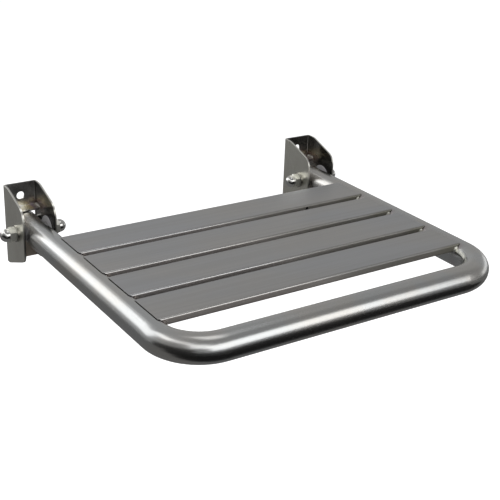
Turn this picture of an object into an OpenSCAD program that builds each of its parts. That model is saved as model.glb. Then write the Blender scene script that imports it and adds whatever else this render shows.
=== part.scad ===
// Fold down wall seat: a bent stainless tube with four slats, hinged between two wall brackets.
// The wall is the plane y = 0, the seat reaches towards -Y and +Z is up.
// The origin lies on the wall, in the middle of the four screw holes of the two brackets.

/* [Seat frame] */
// Distance between the axes of the two side tubes
tube_span = 407; // [340:1:520]
// Distance from the wall to the axis of the front tube
reach = 390; // [374:0.5:460]
// Outer diameter of the tube
tube_d = 32; // [28:0.5:36]
// Wall thickness of the tube
tube_wall = 1.5; // [1:0.1:2.5]
// Radius of the two front bends, measured to the tube's axis
bend_r = 50; // [44:1:56]

/* [Slats] */
// Width of one slat, front to back
slat_w = 51; // [36:1:56]
// Thickness of one slat
slat_t = 9; // [7:0.5:12]
// Drain gap between two slats
slat_gap = 10; // [6:0.5:13]
// Distance from the axis of the front tube to the front edge of the front slat
front_gap = 50; // [36:1:58]
// Wall thickness of a slat
slat_wall = 1.2; // [0.8:0.1:2]
// Outer radius of a slat's long edges
slat_edge_r = 2.1; // [1.5:0.1:3]
// How far a slat's end stops short of the side tube's axis
slat_set_back = 5; // [3:0.5:9]
// Diameter of the vent hole in the front face of the rear slat
vent_d = 4.5; // [2:0.5:5]
// Distance of the vent hole from the middle of the rear slat
vent_x = 111; // [0:1:140]

/* [Brackets] */
// Height of a bracket on the wall
bracket_h = 97; // [90:1:130]
// Sheet thickness of a bracket
sheet = 2.5; // [2:0.1:3.5]
// Inner radius of the sheet's bends
fold_r = 1.2; // [1:0.1:2]
// Distance from the wall to the pivot's axis
pivot_back = 38; // [35:0.5:44]
// How far the cheeks reach past the pivot's axis
cheek_front = 22; // [18:0.5:30]
// Length of the level stretch at the top of a cheek
top_level = 14.5; // [8:0.5:18]
// Height of a cheek's upper front corner above the pivot's axis
top_nose = 33; // [26:0.5:40]
// Radius of a cheek's upper front corner
top_nose_r = 16; // [6:0.5:18]
// Radius of a cheek's upper shoulder
top_shoulder_r = 24; // [8:1:30]
// Length of the level stretch at the foot of a cheek
foot_level = 10; // [6:0.5:14]
// Depth of a cheek's lower front corner below the pivot's axis
foot_nose = 29; // [25:0.5:40]
// Radius of a cheek's lower front corner
foot_nose_r = 12; // [6:0.5:15]
// Radius of a cheek's lower shoulder
foot_shoulder_r = 18; // [8:1:24]
// Radius of the stop tab's lower front edge
tab_edge_r = 0.8; // [0.3:0.1:1.2]
// Diameter of the wall screw holes
screw_hole_d = 10; // [8:0.5:12]
// Height of a bracket's upper screw hole above the pivot's axis
screw_up = 32.5; // [31:0.5:35]
// Depth of a bracket's lower screw hole below the pivot's axis
screw_down = 25; // [23:0.5:35]

/* [Pivots] */
// Diameter of the pivot rod
rod_d = 10; // [8:0.5:11]
// Space between the tube and a cheek
side_play = 2.5; // [1.8:0.1:3]
// How far the welded sleeve stands out of the tube
sleeve_proud = 0.7; // [0.5:0.1:0.9]
// Wall thickness of the welded sleeve
sleeve_wall = 2; // [1.5:0.1:2.5]
// Wall thickness of a bush
bush_wall = 1; // [0.8:0.1:1.5]
// Width of a bush's flange outside its barrel
flange_w = 3.5; // [2:0.5:4]
// Length of a bush's barrel inside the sleeve
bush_len = 11; // [6:0.5:12]

/* [Fasteners] */
// Width of a dome nut across its flats
nut_flats = 17; // [15:0.5:20]
// Height of a dome nut's hexagon
nut_hex_h = 8; // [6:0.5:10]
// Whole height of a dome nut
nut_h = 18; // [16.5:0.5:22]
// Diameter of a dome nut's dome
nut_dome_d = 15.6; // [14:0.2:16]
// How deep the pivot rod goes into a dome nut
thread_depth = 12; // [10:0.5:13]
// Diameter of a washer
washer_d = 20; // [18:0.5:24]
// Thickness of a washer
washer_t = 2; // [1.5:0.1:2.5]

/* [Welds and plugs] */
// Radius of the weld beads on the stop tab
tab_bead_r = 3.5; // [2:0.5:4]
// Radius of the weld beads under the slats
slat_bead_r = 3; // [2:0.5:4]
// Length of a weld bead under a slat
slat_bead_len = 40; // [20:1:44]
// Length of an end plug
plug_len = 9; // [6:0.5:10]
// Wall thickness of an end plug
plug_wall = 1.8; // [1.2:0.1:2.5]

/* [Hidden] */
$fn = 96;

// Clearances and the overrun of every cut
stop_gap = 0.3;
heel_clear = 1.8;
fold_clear = 5;
run_fit = 0.05;
seat_fit = 0.02;
weld_fit = 0.05;
flange_gap = 0.2;
rod_clear = 0.25;
tab_slit = 0.2;
cope_fit = 0.7;
tip_gap = 1;
overrun = 1;

// Sides of a nut and a quarter turn in degrees
hex_sides = 6;
quarter = 90;

// Tube and seat
slat_count = 4;
tube_r = tube_d / 2;
bore_r = tube_r - tube_wall;
leg_x = tube_span / 2;
bend_y = -(reach - bend_r);
heel_len = sqrt(pow(pivot_back - sheet - heel_clear, 2) - pow(tube_r, 2));
heel_y = heel_len - pivot_back;
slat_pitch = slat_w + slat_gap;
slat_half = leg_x - slat_set_back;
slat_top = tube_r;
slat_foot = slat_top - slat_t;
slat_bead_x = sqrt(pow(tube_r, 2) - pow(slat_foot, 2));

// Bracket
inner_w = tube_d + 2 * side_play;
outer_w = inner_w + 2 * sheet;
bend_outer_r = fold_r + sheet;
bracket_depth = pivot_back + cheek_front;
tab_foot = tube_r + stop_gap;
tab_top = tab_foot + sheet;
tab_reach = pivot_back - tube_r - fold_clear;
tab_w = inner_w - 2 * (fold_r + tab_slit);
window_w = inner_w - fold_r;
tab_bend_z = tab_top + fold_r;
tab_bend_y = sheet + fold_r;
pivot_z = (screw_down - screw_up) / 2;
window_h = tab_reach - tab_bend_y + PI / 2 * (fold_r + sheet / 2);

// Pivot
bush_bore_r = rod_d / 2 + run_fit;
bush_r = bush_bore_r + bush_wall;
flange_r = bush_r + flange_w;
sleeve_bore_r = bush_r + seat_fit;
sleeve_r = sleeve_bore_r + sleeve_wall;
sleeve_half = tube_r + sleeve_proud;
flange_t = side_play - sleeve_proud - flange_gap;
rod_half = outer_w / 2 + washer_t + thread_depth;
rod_chamfer = rod_d / 10;
cheek_hole_r = rod_d / 2 + rod_clear;
nut_bore_r = rod_d / 2 + seat_fit;
nut_bore_depth = thread_depth + tip_gap;
hex_corner_r = nut_flats / 2 / cos(2 * quarter / hex_sides);
dome_r = nut_dome_d / 2;

// Cylinder lying along X from x = 0
module rod_x(r, len) {
  rotate([0, quarter, 0]) cylinder(r = r, h = len);
}

// Cylinder lying along X with its middle at the origin
module rod_x_mid(r, len) {
  rotate([0, quarter, 0]) cylinder(r = r, h = len, center = true);
}

// Cylinder lying along -Y from y = 0
module rod_y(r, len) {
  rotate([quarter, 0, 0]) cylinder(r = r, h = len);
}

// Children at the left leg for side -1 and at the right leg for side 1
module at_leg(side) {
  translate([side * leg_x, 0, 0]) children();
}

// Children at the pivot axis of one leg
module at_pivot(side) {
  translate([side * leg_x, -pivot_back, 0]) children();
}

// Rectangle with its middle at the origin and four rounded corners
module rounded_rectangle(w, h, r) {
  square([w - 2 * r, h], center = true);
  square([w, h - 2 * r], center = true);
  for (sx = [-1, 1], sy = [-1, 1])
    translate([sx * (w / 2 - r), sy * (h / 2 - r)]) circle(r = r);
}

// The outline given as children, swept along the tube's bent path
module along_path() {
  for (side = [-1, 1])
    translate([side * leg_x, bend_y, 0])
      rotate([-quarter, 0, 0]) linear_extrude(height = heel_y - bend_y) children();
  for (side = [-1, 1])
    translate([side * (leg_x - bend_r), bend_y, 0])
      rotate([0, 0, side < 0 ? 2 * quarter : -quarter])
        rotate_extrude(angle = quarter) translate([bend_r, 0]) children();
  translate([0, -reach, 0])
    rotate([0, quarter, 0]) linear_extrude(height = 2 * (leg_x - bend_r), center = true) children();
}

module seat_tube() {
  color("silver")
    difference() {
      along_path() difference() {
        circle(r = tube_r);
        circle(r = bore_r);
      }
      for (side = [-1, 1])
        at_pivot(side) rod_x_mid(sleeve_r + weld_fit, tube_d + 2 * overrun);
    }
}

// Front edge of a slat, counted from the rear one
function slat_front_y(index) = -(reach - front_gap) + (slat_count - index) * slat_pitch;

// One slat: a flat closed-section tube whose ends are cut to sit on the round side tubes
module slat(index) {
  color("darkgray")
    difference() {
      translate([0, slat_front_y(index) + slat_w / 2, slat_top - slat_t / 2])
        rotate([quarter, 0, quarter]) slat_section();
      along_path() circle(r = tube_r + cope_fit);
      if (index == 1)
        translate([vent_x, slat_front_y(index) + slat_wall + overrun, slat_top - slat_t / 2])
          rod_y(vent_d / 2, slat_wall + 2 * overrun);
    }
}

module slat_section() {
  linear_extrude(height = 2 * slat_half, center = true)
    difference() {
      rounded_rectangle(slat_w, slat_t, slat_edge_r);
      rounded_rectangle(slat_w - 2 * slat_wall, slat_t - 2 * slat_wall, slat_edge_r - slat_wall);
    }
}

// Fillet welds in the corner between each slat's underside and the tube
module slat_welds(side) {
  color("gainsboro")
    for (index = [1 : slat_count])
      difference() {
        translate([side * (leg_x - slat_bead_x), slat_front_y(index) + (slat_w + slat_bead_len) / 2, slat_foot])
          rod_y(slat_bead_r, slat_bead_len);
        along_path() circle(r = tube_r);
        translate([-leg_x, -reach, slat_foot]) cube([tube_span, reach, slat_t]);
      }
}

module pivot_sleeve(side) {
  color("silver")
    at_pivot(side) difference() {
      rod_x_mid(sleeve_r, 2 * sleeve_half);
      rod_x_mid(sleeve_bore_r, 2 * (sleeve_half + overrun));
    }
}

// Flanged bush, its flange on the side that outward points to
module bush(side, outward) {
  color("whitesmoke")
    at_pivot(side) rotate([0, 0, outward < 0 ? 2 * quarter : 0])
      difference() {
        union() {
          translate([sleeve_half - bush_len, 0, 0]) rod_x(bush_r, bush_len);
          translate([sleeve_half, 0, 0]) rod_x(flange_r, flange_t);
        }
        translate([sleeve_half - bush_len - overrun, 0, 0])
          rod_x(bush_bore_r, bush_len + flange_t + 2 * overrun);
      }
}

// Cup-shaped insert, flush with the tube's heel
module end_plug(side) {
  color("dimgray")
    translate([side * leg_x, heel_y, 0])
      difference() {
        rod_y(bore_r - seat_fit, plug_len);
        translate([0, -plug_wall, 0]) rod_y(bore_r - plug_wall, plug_len);
      }
}

// Plan of the folded sheet with two rounded rear corners, rear face on y = 0
module channel_plan(w, depth, r) {
  translate([-w / 2, -depth]) square([w, depth - r]);
  translate([-w / 2 + r, -depth]) square([w - 2 * r, depth]);
  for (side = [-1, 1])
    translate([side * (w / 2 - r), -r]) circle(r = r);
}

module channel() {
  linear_extrude(height = bracket_h, center = true)
    difference() {
      channel_plan(outer_w, bracket_depth, bend_outer_r);
      translate([0, -sheet]) channel_plan(inner_w, bracket_depth, fold_r);
    }
}

// Outline of a cheek from the pivot's height up: distance from the wall along x, height along y
module cheek_half(level, nose_z, nose_r, shoulder_r) {
  slope = atan2(bracket_h / 2 - nose_z, bracket_depth - level);
  shoulder_cut = shoulder_r * tan(slope / 2);
  nose_cut = nose_r * tan((quarter - slope) / 2);
  down_slope = [cos(slope), -sin(slope)];
  shoulder = [level, bracket_h / 2];
  nose = [bracket_depth, nose_z];
  polygon([
    [0, 0],
    [0, bracket_h / 2],
    shoulder - [shoulder_cut, 0],
    shoulder + shoulder_cut * down_slope,
    nose - nose_cut * down_slope,
    nose - [0, nose_cut],
    [bracket_depth, 0]
  ]);
  intersection() {
    translate(shoulder - [shoulder_cut, shoulder_r]) circle(r = shoulder_r);
    square([bracket_depth, bracket_h / 2]);
  }
  translate(nose - [nose_r, nose_cut]) circle(r = nose_r);
}

// Prism across the bracket that trims both cheeks to their outline
module cheek_prism() {
  rotate([quarter, 0, -quarter])
    linear_extrude(height = outer_w + 2 * overrun, center = true) {
      cheek_half(top_level, top_nose, top_nose_r, top_shoulder_r);
      mirror([0, 1]) cheek_half(foot_level, foot_nose, foot_nose_r, foot_shoulder_r);
    }
}

// Side view of the stop tab's level part: distance from the wall along x, height along y
module tab_section() {
  translate([tab_bend_y, tab_foot]) square([tab_reach - tab_edge_r - tab_bend_y, sheet]);
  translate([tab_bend_y, tab_foot + tab_edge_r]) square([tab_reach - tab_bend_y, sheet - tab_edge_r]);
  translate([tab_reach - tab_edge_r, tab_foot + tab_edge_r]) circle(r = tab_edge_r);
}

// Stop tab, bent forward out of the window's upper edge
module stop_tab() {
  rotate([quarter, 0, -quarter]) linear_extrude(height = tab_w, center = true) tab_section();
  intersection() {
    translate([0, -tab_bend_y, tab_bend_z])
      difference() {
        rod_x_mid(bend_outer_r, tab_w);
        rod_x_mid(fold_r, tab_w + 2 * overrun);
      }
    translate([-tab_w / 2, -tab_bend_y, tab_foot]) cube([tab_w, tab_bend_y, bend_outer_r]);
  }
}

module bracket(side) {
  color("slategray")
    at_leg(side) {
      difference() {
        intersection() {
          channel();
          cheek_prism();
        }
        for (height = [screw_up, -screw_down])
          translate([0, overrun, height]) rod_y(screw_hole_d / 2, sheet + 2 * overrun);
        translate([-window_w / 2, -bend_outer_r, tab_bend_z])
          mirror([0, 0, 1]) cube([window_w, bend_outer_r + overrun, window_h]);
        translate([0, -pivot_back, 0]) rod_x_mid(cheek_hole_r, outer_w + 2 * overrun);
      }
      stop_tab();
    }
}

// Welds that fill the gap between the stop tab's ends and the cheeks, with a fillet on top
module tab_welds(side) {
  bead_len = tab_reach - tab_bend_y;
  root_w = (inner_w - tab_w) / 2;
  color("gainsboro")
    at_leg(side) for (end = [-1, 1]) {
      intersection() {
        translate([end * inner_w / 2, -tab_bend_y, tab_top]) rod_y(tab_bead_r, bead_len);
        translate([-inner_w / 2, -tab_reach, tab_top]) cube([inner_w, bead_len, tab_bead_r]);
      }
      translate([end * (inner_w - root_w) / 2 - root_w / 2, -tab_reach, tab_foot])
        cube([root_w, bead_len, sheet]);
    }
}

module pivot_rod(side) {
  color("silver")
    at_pivot(side) {
      rod_x_mid(rod_d / 2, 2 * (rod_half - rod_chamfer));
      for (end = [-1, 1])
        rotate([0, end * quarter, 0])
          translate([0, 0, rod_half - rod_chamfer])
            cylinder(r1 = rod_d / 2, r2 = rod_d / 2 - rod_chamfer, h = rod_chamfer);
    }
}

module washers(side) {
  color("silver")
    at_pivot(side) for (end = [-1, 1])
      rotate([0, 0, end < 0 ? 2 * quarter : 0])
        translate([outer_w / 2, 0, 0])
          difference() {
            rod_x(washer_d / 2, washer_t);
            translate([-overrun, 0, 0]) rod_x(cheek_hole_r, washer_t + 2 * overrun);
          }
}

// Dome nut standing on z = 0
module dome_nut() {
  dome_base = nut_h - dome_r;
  difference() {
    union() {
      intersection() {
        cylinder(r = hex_corner_r, h = nut_hex_h, $fn = hex_sides);
        hex_chamfer();
      }
      cylinder(r = dome_r, h = dome_base);
      translate([0, 0, dome_base]) sphere(r = dome_r);
    }
    translate([0, 0, -overrun]) cylinder(r = nut_bore_r, h = nut_bore_depth + overrun);
  }
}

// Turned shape that bevels the corners of the hexagon at both faces
module hex_chamfer() {
  bevel = (hex_corner_r - nut_flats / 2) / sqrt(3);
  rotate_extrude()
    polygon([
      [0, 0],
      [nut_flats / 2, 0],
      [hex_corner_r, bevel],
      [hex_corner_r, nut_hex_h - bevel],
      [nut_flats / 2, nut_hex_h],
      [0, nut_hex_h]
    ]);
}

// Nut seated on the washer on the side that outward points to
module seated_nut(side, outward) {
  color("gainsboro")
    at_pivot(side) rotate([0, outward * quarter, 0])
      translate([0, 0, outer_w / 2 + washer_t]) dome_nut();
}

// Children built about the pivot's axis, lowered so that z = 0 is the middle of the screw holes
module from_screws() {
  translate([0, 0, pivot_z]) children();
}

from_screws() bracket(-1);  // left_bracket
from_screws() bracket(1);  // right_bracket
from_screws() tab_welds(-1);  // left_tab_welds
from_screws() tab_welds(1);  // right_tab_welds
from_screws() pivot_rod(-1);  // left_pivot_rod
from_screws() pivot_rod(1);  // right_pivot_rod
from_screws() washers(-1);  // left_washers
from_screws() washers(1);  // right_washers
from_screws() seated_nut(-1, -1);  // left_outer_nut
from_screws() seated_nut(-1, 1);  // left_inner_nut
from_screws() seated_nut(1, -1);  // right_inner_nut
from_screws() seated_nut(1, 1);  // right_outer_nut
from_screws() seat_tube();
from_screws() slat(1);  // slat_1
from_screws() slat(2);  // slat_2
from_screws() slat(3);  // slat_3
from_screws() slat(4);  // slat_4
from_screws() slat_welds(-1);  // left_slat_welds
from_screws() slat_welds(1);  // right_slat_welds
from_screws() pivot_sleeve(-1);  // left_pivot_sleeve
from_screws() pivot_sleeve(1);  // right_pivot_sleeve
from_screws() bush(-1, -1);  // left_outer_bush
from_screws() bush(-1, 1);  // left_inner_bush
from_screws() bush(1, -1);  // right_inner_bush
from_screws() bush(1, 1);  // right_outer_bush
from_screws() end_plug(-1);  // left_end_plug
from_screws() end_plug(1);  // right_end_plug
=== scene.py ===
# %% [markdown]
# A fold-down wall seat: a bent tube with four slats, hinged between two wall brackets. What
# Blender adds is the look of the steel. Loading the frame first, and never moving it, is what
# lets the same script show the seat folded up as well.

# %% Load the frame
import math

import bmesh
import bpy
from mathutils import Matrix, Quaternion, Vector


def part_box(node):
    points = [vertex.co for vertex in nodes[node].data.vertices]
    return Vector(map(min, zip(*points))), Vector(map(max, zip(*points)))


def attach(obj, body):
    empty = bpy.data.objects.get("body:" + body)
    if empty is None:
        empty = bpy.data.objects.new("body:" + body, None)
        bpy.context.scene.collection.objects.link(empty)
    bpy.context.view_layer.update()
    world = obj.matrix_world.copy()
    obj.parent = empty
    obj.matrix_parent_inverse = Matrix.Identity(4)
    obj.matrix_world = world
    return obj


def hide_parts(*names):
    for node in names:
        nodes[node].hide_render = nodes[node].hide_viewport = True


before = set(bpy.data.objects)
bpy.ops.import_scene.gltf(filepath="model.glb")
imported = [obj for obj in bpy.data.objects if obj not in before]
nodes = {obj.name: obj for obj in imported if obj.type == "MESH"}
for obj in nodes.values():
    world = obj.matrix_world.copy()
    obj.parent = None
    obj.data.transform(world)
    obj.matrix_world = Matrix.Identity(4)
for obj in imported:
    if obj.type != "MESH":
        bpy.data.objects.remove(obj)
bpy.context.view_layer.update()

# %% [markdown]
# The finishes need to know where the tube runs and where the slats end. These sizes could be
# typed again, but a size that is typed twice can disagree, so they are read from the boxes of
# the loaded pieces. Only what no box holds is a value of its own, such as the bend radius.

# %% Sizes of the tube and the slats
TUBE_BEND_R = 0.050
tube_low, tube_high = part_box("seat_tube")
tube_r = (tube_high.z - tube_low.z) / 2
pivot_z = (tube_high.z + tube_low.z) / 2
leg_x = tube_high.x - tube_r
reach = -tube_low.y - tube_r
bend_x, bend_y = leg_x - TUBE_BEND_R, TUBE_BEND_R - reach
slat_boxes = [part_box(f"slat_{index}") for index in (1, 2, 3, 4)]
rear_slat_low, rear_slat_high = slat_boxes[0]
slat_foot, slat_top = rear_slat_low.z, rear_slat_high.z
slat_half = rear_slat_high.x
slats_rear, slats_front = rear_slat_high.y, slat_boxes[3][0].y
slat_w = rear_slat_high.y - rear_slat_low.y
slat_pitch = rear_slat_low.y - slat_boxes[1][0].y
print("tube radius", round(tube_r, 4), "legs at", round(leg_x, 4), "reach", round(reach, 4))
print("slat", round(slat_w, 4), "wide, pitch", round(slat_pitch, 4), "top at", round(slat_top, 4))

# %% [markdown]
# Both brackets are alike, and each leg of the tube runs through the middle of one. So distances
# across a bracket are counted from its leg's axis, and one set of sizes serves the left and the
# right. The rod gives the place of the pivot, and the tab's weld beads the cheeks' inner faces.

# %% Sizes of the brackets and the pivots
NUT_HEX_H = 0.008
weld_low, weld_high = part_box("right_tab_welds")
weld_middle_z = (weld_low.z + weld_high.z) / 2
cheek_inner = weld_high.x - leg_x
cheek_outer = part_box("right_bracket")[1].x - leg_x
hex_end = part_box("right_washers")[1].x - leg_x + NUT_HEX_H
rod_low, rod_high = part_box("right_pivot_rod")
pivot_y = (rod_low.y + rod_high.y) / 2
print("pivot at y", round(pivot_y, 5), "z", round(pivot_z, 5))
print("cheeks from", round(cheek_inner, 4), "to", round(cheek_outer, 4), "beside a leg's axis")

# %% [markdown]
# The photograph looks down on the seat from its left front corner. A long lens from a little
# over a metre away keeps the far bracket almost as large as the near one. The angle, distance
# and lens come from matching the corners of the slats and brackets, and the small roll is the
# tilt of the real camera.

# %% Camera
CAMERA_AZIMUTH = math.radians(-33.75)
CAMERA_ELEVATION = math.radians(23.46)
CAMERA_ROLL = math.radians(2.18)
CAMERA_DISTANCE = 1.2226
CAMERA_AIM = Vector((-0.0076, -0.2097, pivot_z))
LENS_MM = 75.95


def direction(azimuth, elevation):
    """Unit vector towards a compass angle, 0 at the seat's front (-Y) and a quarter turn at +X."""
    level = math.cos(elevation)
    return Vector((math.sin(azimuth) * level, -math.cos(azimuth) * level, math.sin(elevation)))


camera_data = bpy.data.cameras.new("camera")
camera_data.lens = LENS_MM
camera = bpy.data.objects.new("camera", camera_data)
bpy.context.scene.collection.objects.link(camera)
back = direction(CAMERA_AZIMUTH, CAMERA_ELEVATION)
camera.location = CAMERA_AIM + back * CAMERA_DISTANCE
camera.rotation_mode = "QUATERNION"
camera.rotation_quaternion = (-back).to_track_quat("-Z", "Y") @ Quaternion((0, 0, 1), CAMERA_ROLL)
bpy.context.scene.camera = camera
bpy.context.scene.view_settings.view_transform = "Standard"
print("camera at", [round(v, 3) for v in camera.location])

# %% [markdown]
# A material is a graph of small sums on what each point of the surface knows: where it is, and
# how noisy a pattern is there. Wiring such sums node by node hides what they say. So one small
# class wraps an output socket, and Python's own operators on it add the Math nodes. Every other
# node comes from its node() method: the settings go in first, because some change the sockets.

# %% Shader sums as Python
class Wire:
    """An output socket of a material's nodes. Sums on it add Math nodes."""

    def __init__(self, tree, socket=None):
        self.tree = tree
        self.socket = socket

    def node(self, kind, settings=None, inputs=None, output=0):
        """Adds a node: its settings first, then the values or wires of its inputs."""
        made = self.tree.nodes.new(kind)
        for name, value in (settings or {}).items():
            if name == "stops":
                fill_ramp(made.color_ramp, value)
            else:
                setattr(made, name, value)
        for name, value in (inputs or {}).items():
            self.feed(made.inputs[name], value)
        return Wire(self.tree, made.outputs[output])

    def feed(self, socket, value):
        """Gives a socket a wire or a plain value."""
        if isinstance(value, Wire):
            self.tree.links.new(value.socket, socket)
        else:
            socket.default_value = value

    def math(self, operation, *terms):
        """One Math node on wires and plain numbers."""
        return self.node("ShaderNodeMath", {"operation": operation}, dict(enumerate(terms)))

    def __add__(self, other):
        return self.math("ADD", self, other)

    def __sub__(self, other):
        return self.math("SUBTRACT", self, other)

    def __mul__(self, other):
        return self.math("MULTIPLY", self, other)

    def __rsub__(self, other):
        return self.math("SUBTRACT", other, self)

    def __neg__(self):
        return self.math("MULTIPLY", self, -1)

    __radd__ = __add__
    __rmul__ = __mul__

    def absolute(self):
        """The size without its sign."""
        return self.math("ABSOLUTE", self)

    def above(self, other):
        """The larger of the two."""
        return self.math("MAXIMUM", self, other)

    def below(self, other):
        """The smaller of the two."""
        return self.math("MINIMUM", self, other)

    def past_whole(self, length):
        """What is left over after whole lengths."""
        return self.math("MODULO", self, length)

    def step(self, start, end):
        """0 before start, 1 past end, and a smooth rise between them."""
        return self.node(
            "ShaderNodeMapRange",
            {"interpolation_type": "SMOOTHSTEP"},
            {"Value": self, "From Min": start, "From Max": end},
        )

    def between(self, low, high):
        """Spreads 0 to 1 over low to high."""
        return low + self * (high - low)


def fill_ramp(ramp, stops):
    """Stops are pairs of a place from 0 to 1 and a colour."""
    while len(ramp.elements) < len(stops):
        ramp.elements.new(1)
    for element, (place, colour) in zip(ramp.elements, stops):
        element.position = place
        element.color = colour


print("wires ready")

# %% [markdown]
# Every finish starts from a shader with plain values and from the position of the point in
# metres. The position is the Object coordinate, which stays on the piece as it folds up. A
# colour can't pass a Math node, so two colours are blended by a Mix node instead. Its colour
# sockets share their names with its other kinds, so they are told apart by their numbers.

# %% Helpers for colours and places
MIX_SHARE, MIX_FIRST, MIX_SECOND, MIX_RESULT = 0, 6, 7, 2


def new_material(name, colour, roughness, metallic=1.0):
    """A material with its shader's plain values set; returns it, its shader and a first wire."""
    material = bpy.data.materials.new(name)
    material.use_nodes = True
    shader = material.node_tree.nodes["Principled BSDF"]
    shader.inputs["Base Color"].default_value = (*colour, 1)
    shader.inputs["Roughness"].default_value = roughness
    shader.inputs["Metallic"].default_value = metallic
    return material, shader, Wire(material.node_tree)


def place_of(wire):
    """The point's place in the seat's own frame, in metres."""
    return wire.node("ShaderNodeTexCoord", output="Object")


def parts_of(wire, place):
    """The X, Y and Z of a place."""
    return [wire.node("ShaderNodeSeparateXYZ", inputs={0: place}, output=axis) for axis in range(3)]


def vector_of(wire, x, y, z):
    """One vector from three parts."""
    return wire.node("ShaderNodeCombineXYZ", inputs={0: x, 1: y, 2: z})


def length_of(wire, x, y, z):
    """How long the vector with these three parts is."""
    vector = vector_of(wire, x, y, z)
    return wire.node("ShaderNodeVectorMath", {"operation": "LENGTH"}, {0: vector}, output="Value")


def blend_colours(wire, share, first, second):
    """The first colour where share is 0 and the second where it is 1."""
    first, second = [c if isinstance(c, Wire) else (*c, 1) for c in (first, second)]
    inputs = {MIX_SHARE: share, MIX_FIRST: first, MIX_SECOND: second}
    return wire.node("ShaderNodeMix", {"data_type": "RGBA"}, inputs, output=MIX_RESULT)


print("helpers for colours and places ready")

# %% [markdown]
# Steel shows how it was worked. A belt leaves lines a few tenths of a millimetre apart and some
# centimetres long, so the noise that stands for them counts many features per metre across the
# belt and few along it. The same noise, with one count for all three axes, makes stains and
# wear. Most of it lies between 0.3 and 0.7, so a step over about that range, or a part of it,
# gives it full contrast. Fine lines are too shallow to model, so a Bump node raises them by
# their depth in metres.

# %% Helpers for noise and relief
def noise(wire, place, per_metre, detail=2.0):
    """Noise with its own count of features per metre along X, Y and Z."""
    scaled = wire.node("ShaderNodeVectorMath", {"operation": "MULTIPLY"}, {0: place, 1: per_metre})
    return wire.node("ShaderNodeTexNoise", inputs={"Vector": scaled, "Scale": 1.0, "Detail": detail})


def bump(wire, height, depth):
    """Height from 0 to 1 raised by depth in metres."""
    return wire.node("ShaderNodeBump", inputs={"Height": height, "Distance": depth, "Strength": 1.0})


def dress(names, material):
    """Gives the named CAD nodes one material."""
    for name in names:
        slots = nodes[name].data.materials
        slots.clear()
        slots.append(material)
    print(material.name, "on", ", ".join(names))


print("helpers for noise and relief ready")

# %% [markdown]
# The tube is polished with a belt that runs round it, which leaves a soft satin. To lay those
# lines round the tube through its bends too, the shader needs to know how far along the tube a
# point is. The distance to the tube's centre line could come from a texture, but the path is
# only two legs, two quarter bends and a front bar, so a short sum gives it exactly.

# %% Way along the tube
NEVER_ZERO = 0.00001


def way_along_tube(wire, x, y):
    """Metres along the tube's path, 0 where a leg meets its bend, the same on both halves."""
    beyond_x, beyond_y = x.absolute() - bend_x, bend_y - y
    turn = wire.math("ARCTAN2", beyond_y.above(0.0), beyond_x.above(NEVER_ZERO))
    return turn * TUBE_BEND_R + (-beyond_x).above(0.0) - (-beyond_y).above(0.0)


print("the path's bends start at x", round(bend_x, 4), "and y", round(bend_y, 4))

# %% [markdown]
# Welding the slats left a mark on the tube: each front corner of a slat has a small brown spot
# of heat beside it. On the right bend's inner side, in front of the last weld, a pale painted
# highlight stands for the light that this part of the tube mirrors. Such marks could be painted
# on an image, but a mask that is worked out from the slats' own places stays right when a size
# changes. A pair of values is where a mask starts to rise and where it is full, in metres.

# %% Heat spots and a painted highlight on the tube
HEAT_INWARD = 0.6
HEAT_FADE = (0.002, 0.008)
HEAT_SPOT = 0.006
HEAT_FRONT_LIMIT = (-0.012, -0.008)
HEAT_REAR_LIMIT = (-0.12, -0.10)
# Where the highlight on the right bend's inner side is painted
HIGHLIGHT_STRIP_RADIUS = (0.0372, 0.0394)
HIGHLIGHT_STRIP_HEIGHT = (0.0072, 0.0090)
HIGHLIGHT_STRIP_START = (-0.001, 0.002)
HIGHLIGHT_STRIP_END = (0.020, 0.027)
HIGHLIGHT_STRIP_IN_BEND = (0.0, 0.001)


def slat_weld_heat(x, y, blotches):
    """1 on the tube's inner side where a slat's front corner was welded to it, 0 elsewhere."""
    weld_x = leg_x - tube_r * HEAT_INWARD
    beside = 1 - (x.absolute() - weld_x).absolute().step(*HEAT_FADE)
    past_front = (y - slats_front + HEAT_SPOT).past_whole(slat_pitch)
    near = 1 - (past_front - HEAT_SPOT).absolute().step(*HEAT_FADE)
    among_slats = (y - slats_front).step(*HEAT_FRONT_LIMIT) * (1 - y.step(*HEAT_REAR_LIMIT))
    return beside * near * among_slats * blotches


def painted_highlight_strip(wire, x, y, z):
    """1 on the right bend's inner side, in front of the last weld, where a highlight is painted, 0
    elsewhere.
    """
    beyond_x, beyond_y = x - bend_x, bend_y - y
    from_centre = length_of(wire, beyond_x, beyond_y, 0.0)
    inner_side = 1 - from_centre.step(*HIGHLIGHT_STRIP_RADIUS)
    above_middle = (z - pivot_z).step(*HIGHLIGHT_STRIP_HEIGHT)
    along = beyond_y.step(*HIGHLIGHT_STRIP_START) * (1 - beyond_y.step(*HIGHLIGHT_STRIP_END))
    return inner_side * above_middle * along * beyond_x.step(*HIGHLIGHT_STRIP_IN_BEND)


print("heat spots every", round(slat_pitch, 4), "along each leg")

# %% [markdown]
# The tube's satin is nearly even. Broad patches of it are a little warmer or cooler, and a
# little rougher, and fine specks of the rolled skin are left under the polish. Where a highlight
# is painted, the metal shader is turned down, so that its pale colour takes light as paint would.

# %% Satin tube
TUBE_STEEL = (0.56, 0.555, 0.54)
TUBE_STEEL_WARM = (0.57, 0.555, 0.53)
TUBE_STEEL_COOL = (0.55, 0.56, 0.56)
TUBE_SPECK = (0.42, 0.42, 0.41)
HEAT_BROWN = (0.47, 0.42, 0.43)
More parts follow.
